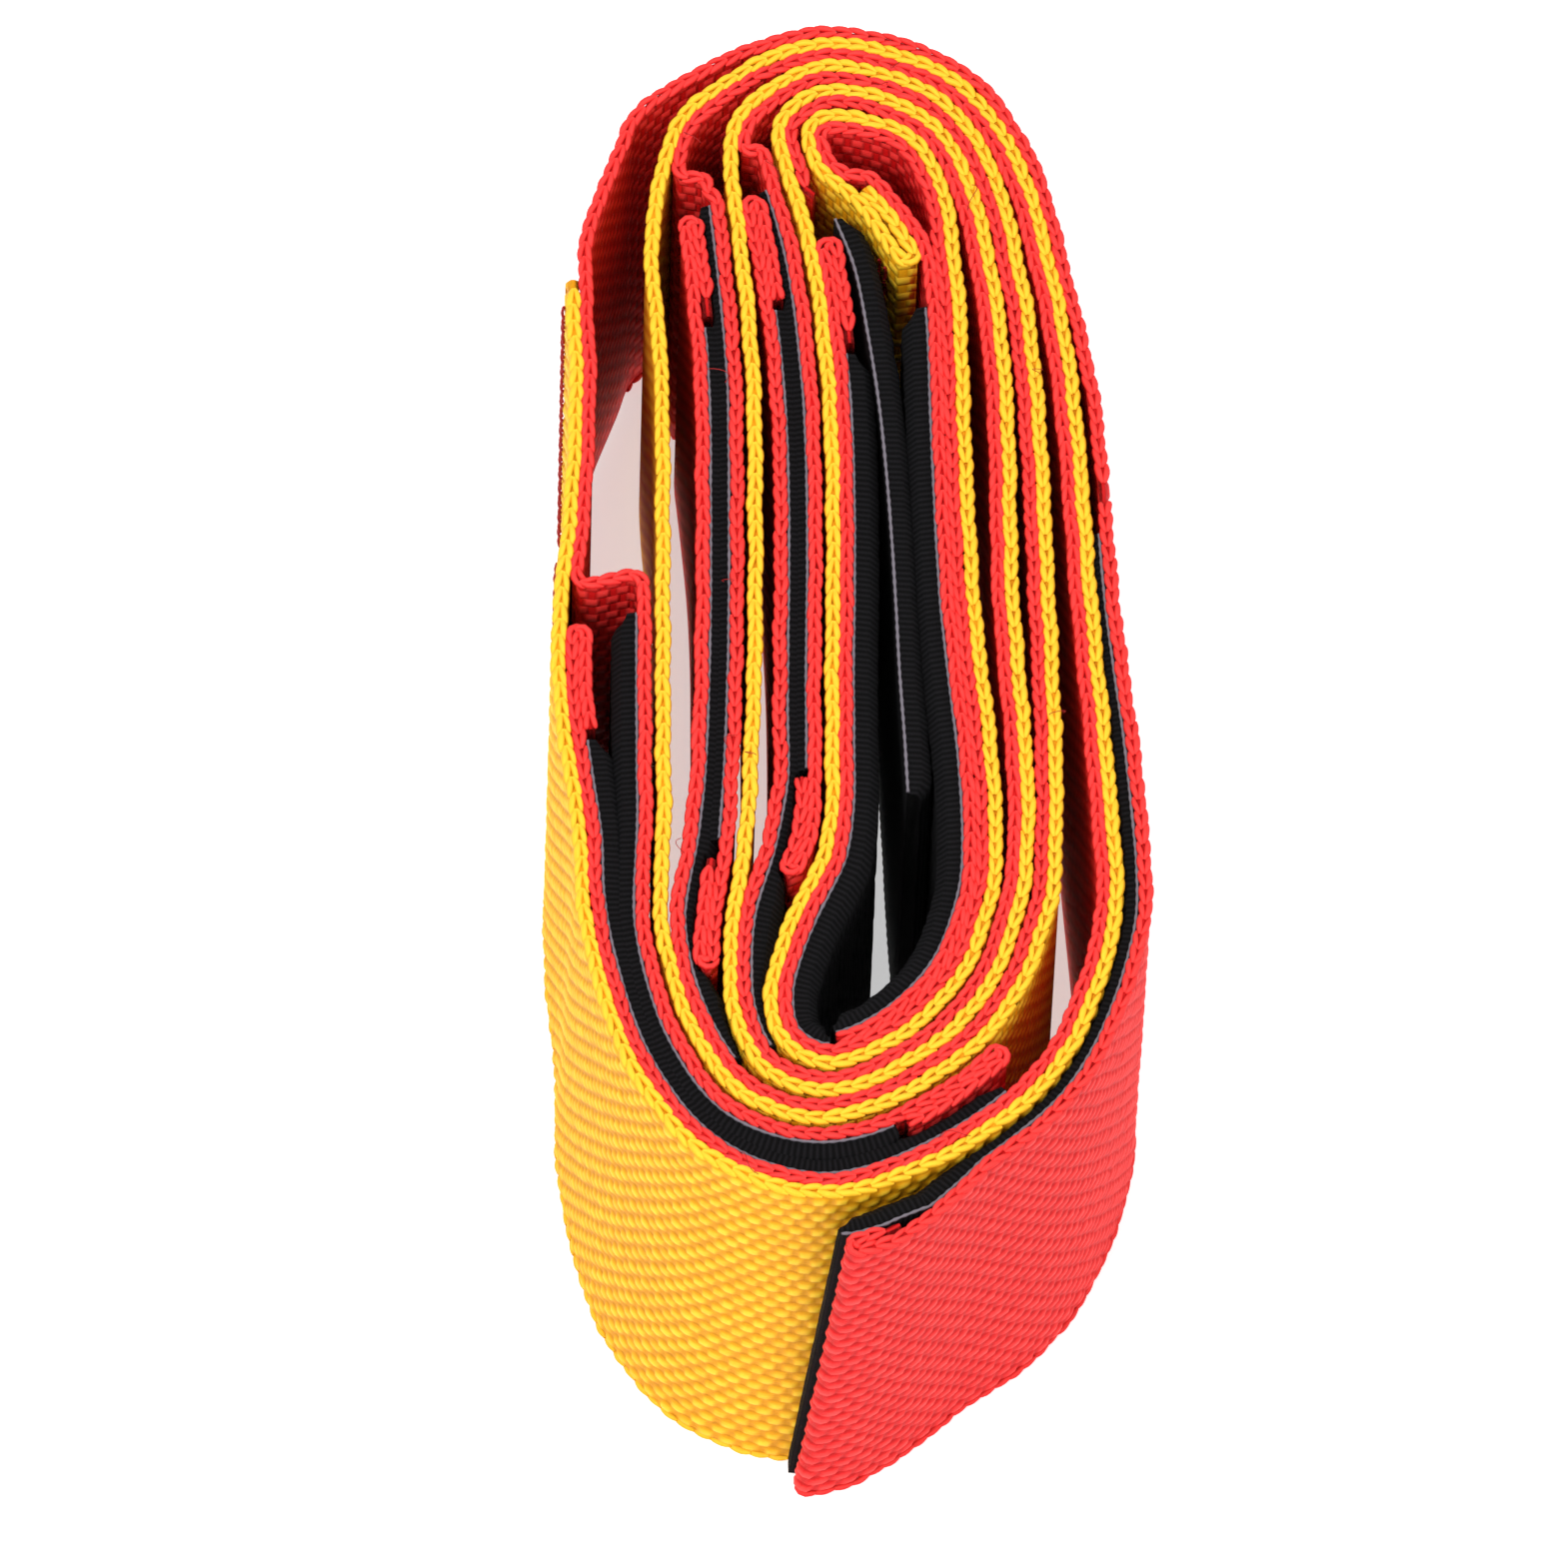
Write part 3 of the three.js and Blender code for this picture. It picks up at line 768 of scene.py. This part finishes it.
def make_tape(kind, letter):
    """A tape with its pile, and the pale lines along its edges."""
    node = f"{kind}_tape_{letter}"
    on_flap = node == "loop_tape_a"
    path = Path(from_hinge(middle(node)) if on_flap else middle(node))
    back = backing_side(path)
    warp = slanted(path.length) if on_flap else straight
    mesh = Mesh()
    s = np.linspace(0, path.length, max(4, int(path.length / TAPE_STEP)))
    depth = pile_depth(path, s, -back)
    depth = depth * np.clip(np.minimum(s, path.length - s) / 1.5, 0.15, 1) ** 0.5
    backing = np.linspace(TAPE_LOW, TAPE_HIGH, TAPE_ROWS)
    z = np.concatenate([backing, np.linspace(PILE_HIGH, PILE_LOW, TAPE_ROWS)])
    face = np.concatenate([np.full(TAPE_ROWS, back), np.full(TAPE_ROWS, -back)])
    grid_s, grid_z = np.meshgrid(s, z, indexing="ij")
    fuzz = FUZZ * (hashed(grid_s, grid_z, letter == "a") - 0.5)
    inset = np.clip(np.minimum(grid_z - PILE_LOW, PILE_HIGH - grid_z) / 1.2, 0, 1) ** 0.5
    pile_side = depth[:, None] * (0.55 + 0.45 * inset) + fuzz
    out = THICK["tape"] / 2 + np.where(face[None, :] == back, 0, pile_side)
    places = placed(path, grid_s, grid_z, out * face[None, :], warp)
    flat = np.stack([grid_s, grid_z], -1) * MM
    lift = np.full(grid_s.shape, 0.5)
    way = slice(None, None, -1) if back > 0 else slice(None)
    mesh.grid(places[:, way], lift, flat[:, way])
    mesh.cap(len(z), False)
    mesh.cap(len(z), True)
    obj = mesh.make(f"{node}_cloth", BLACK)
    mesh = Mesh()
    line = np.arange(0.1, path.length, 0.22)
    aside = np.full(len(line), back * (THICK["tape"] / 2 - 0.12))
    bead = 0.15 + 0.035 * np.sin(line * 7.4) + 0.015 * ripple(line, 3, 2.0)
    for level in (TAPE_HIGH, TAPE_LOW):
        places = placed(path, line, np.full(len(line), level), aside, warp)
        tubes(mesh, places[None], bead[None])
    edges = mesh.make(f"{node}_edges", GREY)
    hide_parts(node)
    for part in (obj, edges):
        if on_flap:
            blend_over_hinge(part, Path(from_hinge(middle("closing_flap"))), 0)
        else:
            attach(part, "root")


def make_seams():
    """Two rows of stitches across the webbing at each seam."""
    for node in [n for n in frame["nodes"] if n.startswith("seam_")]:
        path = Path(middle(node))
        half = np.array([path.length / 2])
        centre, along = path.at(half)[0], path.heading(half)[0]
        side = np.array([-along[1], along[0]])
        bow = 0.12 * np.sin(np.linspace(0, np.pi, 7))
        mesh = Mesh()
        for row in (-0.45, 0.45):
            for k in range(SEAM_STITCHES):
                low_end = SEAM_LOW + k * SEAM_PITCH
                z = np.linspace(low_end, low_end + SEAM_STITCH, 7)
                xy = centre + along * row + side[None, :] * bow[:, None]
                tubes(mesh, np.column_stack([xy, z])[None], np.full((1, 7), 0.14))
        obj = mesh.make(f"{node}_stitches", THREAD)
        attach(obj, "root")
        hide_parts(node)


def make_flap_stitches():
    """A row of stitches at the flap's hem, and a few threads across its end. Most of them lie below the
    weave, and hardly show."""
    path = Path(from_hinge(middle("closing_flap")))
    tip = path.length - FLAP_FOLD
    warp = slanted(tip)
    away = 1 if outside(path, tip) == "left" else -1
    mesh = Mesh()
    for k, level in enumerate(np.arange(2.0, 47.5, HEM_PITCH)):
        t = np.linspace(0, 1, 7)
        z = level + 1.35 * t
        lean = 0.35 * (-1) ** k + 0.25 * (hashed(k, 1) - 0.5)
        s = tip - HEM_STITCH + lean * (t - 0.5) * 2
        out = away * (THICK["strap"] / 2 + 0.34 + 0.12 * np.sin(np.pi * t))
        tubes(mesh, placed(path, s, z, out, warp)[None], np.full((1, 7), 0.2))
    for k in range(4):
        t = np.linspace(0, 1, 9)
        s = tip - 1.6 + 3.1 * t
        z = 39.6 + 0.3 * k + 0.5 * (hashed(k, 5) - 0.5) + 0.5 * np.sin(np.pi * t)
        out = away * (0.62 - 0.9 * t) * (1 - 0.15 * k)
        tubes(mesh, placed(path, s, z, out, warp)[None], np.full((1, 9), 0.13))
    obj = mesh.make("flap_stitches", RED)
    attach(obj, "flap")


def make_fibres():
    """A few loose hairs that stand off the edges."""
    mesh = Mesh()
    for k in range(FIBRES):
        node = ("main_webbing", "strap_b", "strap_c", "hook_tape_b")[k % 4]
        path = Path(middle(node))
        t = np.linspace(0, 1, 12)
        s = path.length * (0.1 + 0.8 * hashed(k, 4)) + 4 * (hashed(k, 6) - 0.3) * t
        out = 2.6 * (hashed(k, 8) - 0.5) * t + 0.5 * np.sin(5 * t + k)
        z = 49.6 + 1.3 * np.sin(np.pi * t * (0.6 + 0.4 * hashed(k, 9)))
        tubes(mesh, placed(path, s, z, out, straight)[None], np.full((1, 12), 0.035), sides=4)
    obj = mesh.make("loose_fibres", THREAD)
    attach(obj, "root")


make_main()
for letter in STRAPS:
    make_strap(letter)
    make_tape("hook", letter)
    make_tape("loop", letter)
make_seams()
make_flap_stitches()
make_fibres()


# ---------------------------------------------------------------- floor, light and camera

FLOOR_HALF = 1.5
CAMERA_DISTANCE = 2.0
VIEW_WIDTH = 0.13075
ELEVATION = math.radians(64)
ROLL = math.radians(2.2)
SENSOR = 36.0
AIM_FROM_HINGE = (0.0264, 0.0276, 0)
LIGHTS_AIM = (0, 0, 0.02)


def make_floor():
    mesh = bpy.data.meshes.new("floor")
    h = FLOOR_HALF
    mesh.from_pydata([(-h, -h, 0), (h, -h, 0), (h, h, 0), (-h, h, 0)], [], [(0, 1, 2, 3)])
    floor = bpy.data.objects.new("floor", mesh)
    paper, _, _, shader = node_tree("floor", 0.9)
    shader.inputs["Base Color"].default_value = (0.93, 0.93, 0.93, 1)
    shader.inputs["Emission Color"].default_value = (1, 1, 1, 1)
    shader.inputs["Emission Strength"].default_value = 0.5
    mesh.materials.append(paper)
    bpy.context.scene.collection.objects.link(floor)


def area_light(name, place, size, power):
    """A square light that points at the roll."""
    light = bpy.data.lights.new(name, "AREA")
    light.size = size
    light.energy = power
    obj = bpy.data.objects.new(name, light)
    obj.location = place
    obj.rotation_euler = (Vector(LIGHTS_AIM) - Vector(place)).to_track_quat("-Z", "Y").to_euler()
    bpy.context.scene.collection.objects.link(obj)


def make_lights():
    world = bpy.data.worlds.new("studio")
    bpy.context.scene.world = world
    world.use_nodes = True
    background = world.node_tree.nodes["Background"]
    background.inputs["Color"].default_value = (1, 1, 1, 1)
    background.inputs["Strength"].default_value = 0.62
    area_light("key", (-0.25, -0.35, 0.72), 0.2, 3.0)
    area_light("top", (0.02, 0.06, 0.8), 0.25, 1.3)
    area_light("fill", (0.5, -0.6, 0.45), 0.4, 1.5)


def make_camera():
    data = bpy.data.cameras.new("camera")
    data.sensor_width = SENSOR
    data.lens = SENSOR * CAMERA_DISTANCE / VIEW_WIDTH
    data.clip_start, data.clip_end = 0.05, 20
    camera = bpy.data.objects.new("camera", data)
    target = Vector((hinge.x, hinge.y, BAND_WIDTH * MM)) - Vector(AIM_FROM_HINGE)
    back = Vector((0, -math.cos(ELEVATION), math.sin(ELEVATION)))
    camera.location = target + back * CAMERA_DISTANCE
    look = (-back).to_track_quat("-Z", "Y").to_matrix()
    camera.rotation_euler = (look @ Matrix.Rotation(ROLL, 3, "Z")).to_euler()
    bpy.context.scene.collection.objects.link(camera)
    bpy.context.scene.camera = camera


make_floor()
make_lights()
make_camera()
bpy.context.scene.view_settings.view_transform = "Standard"
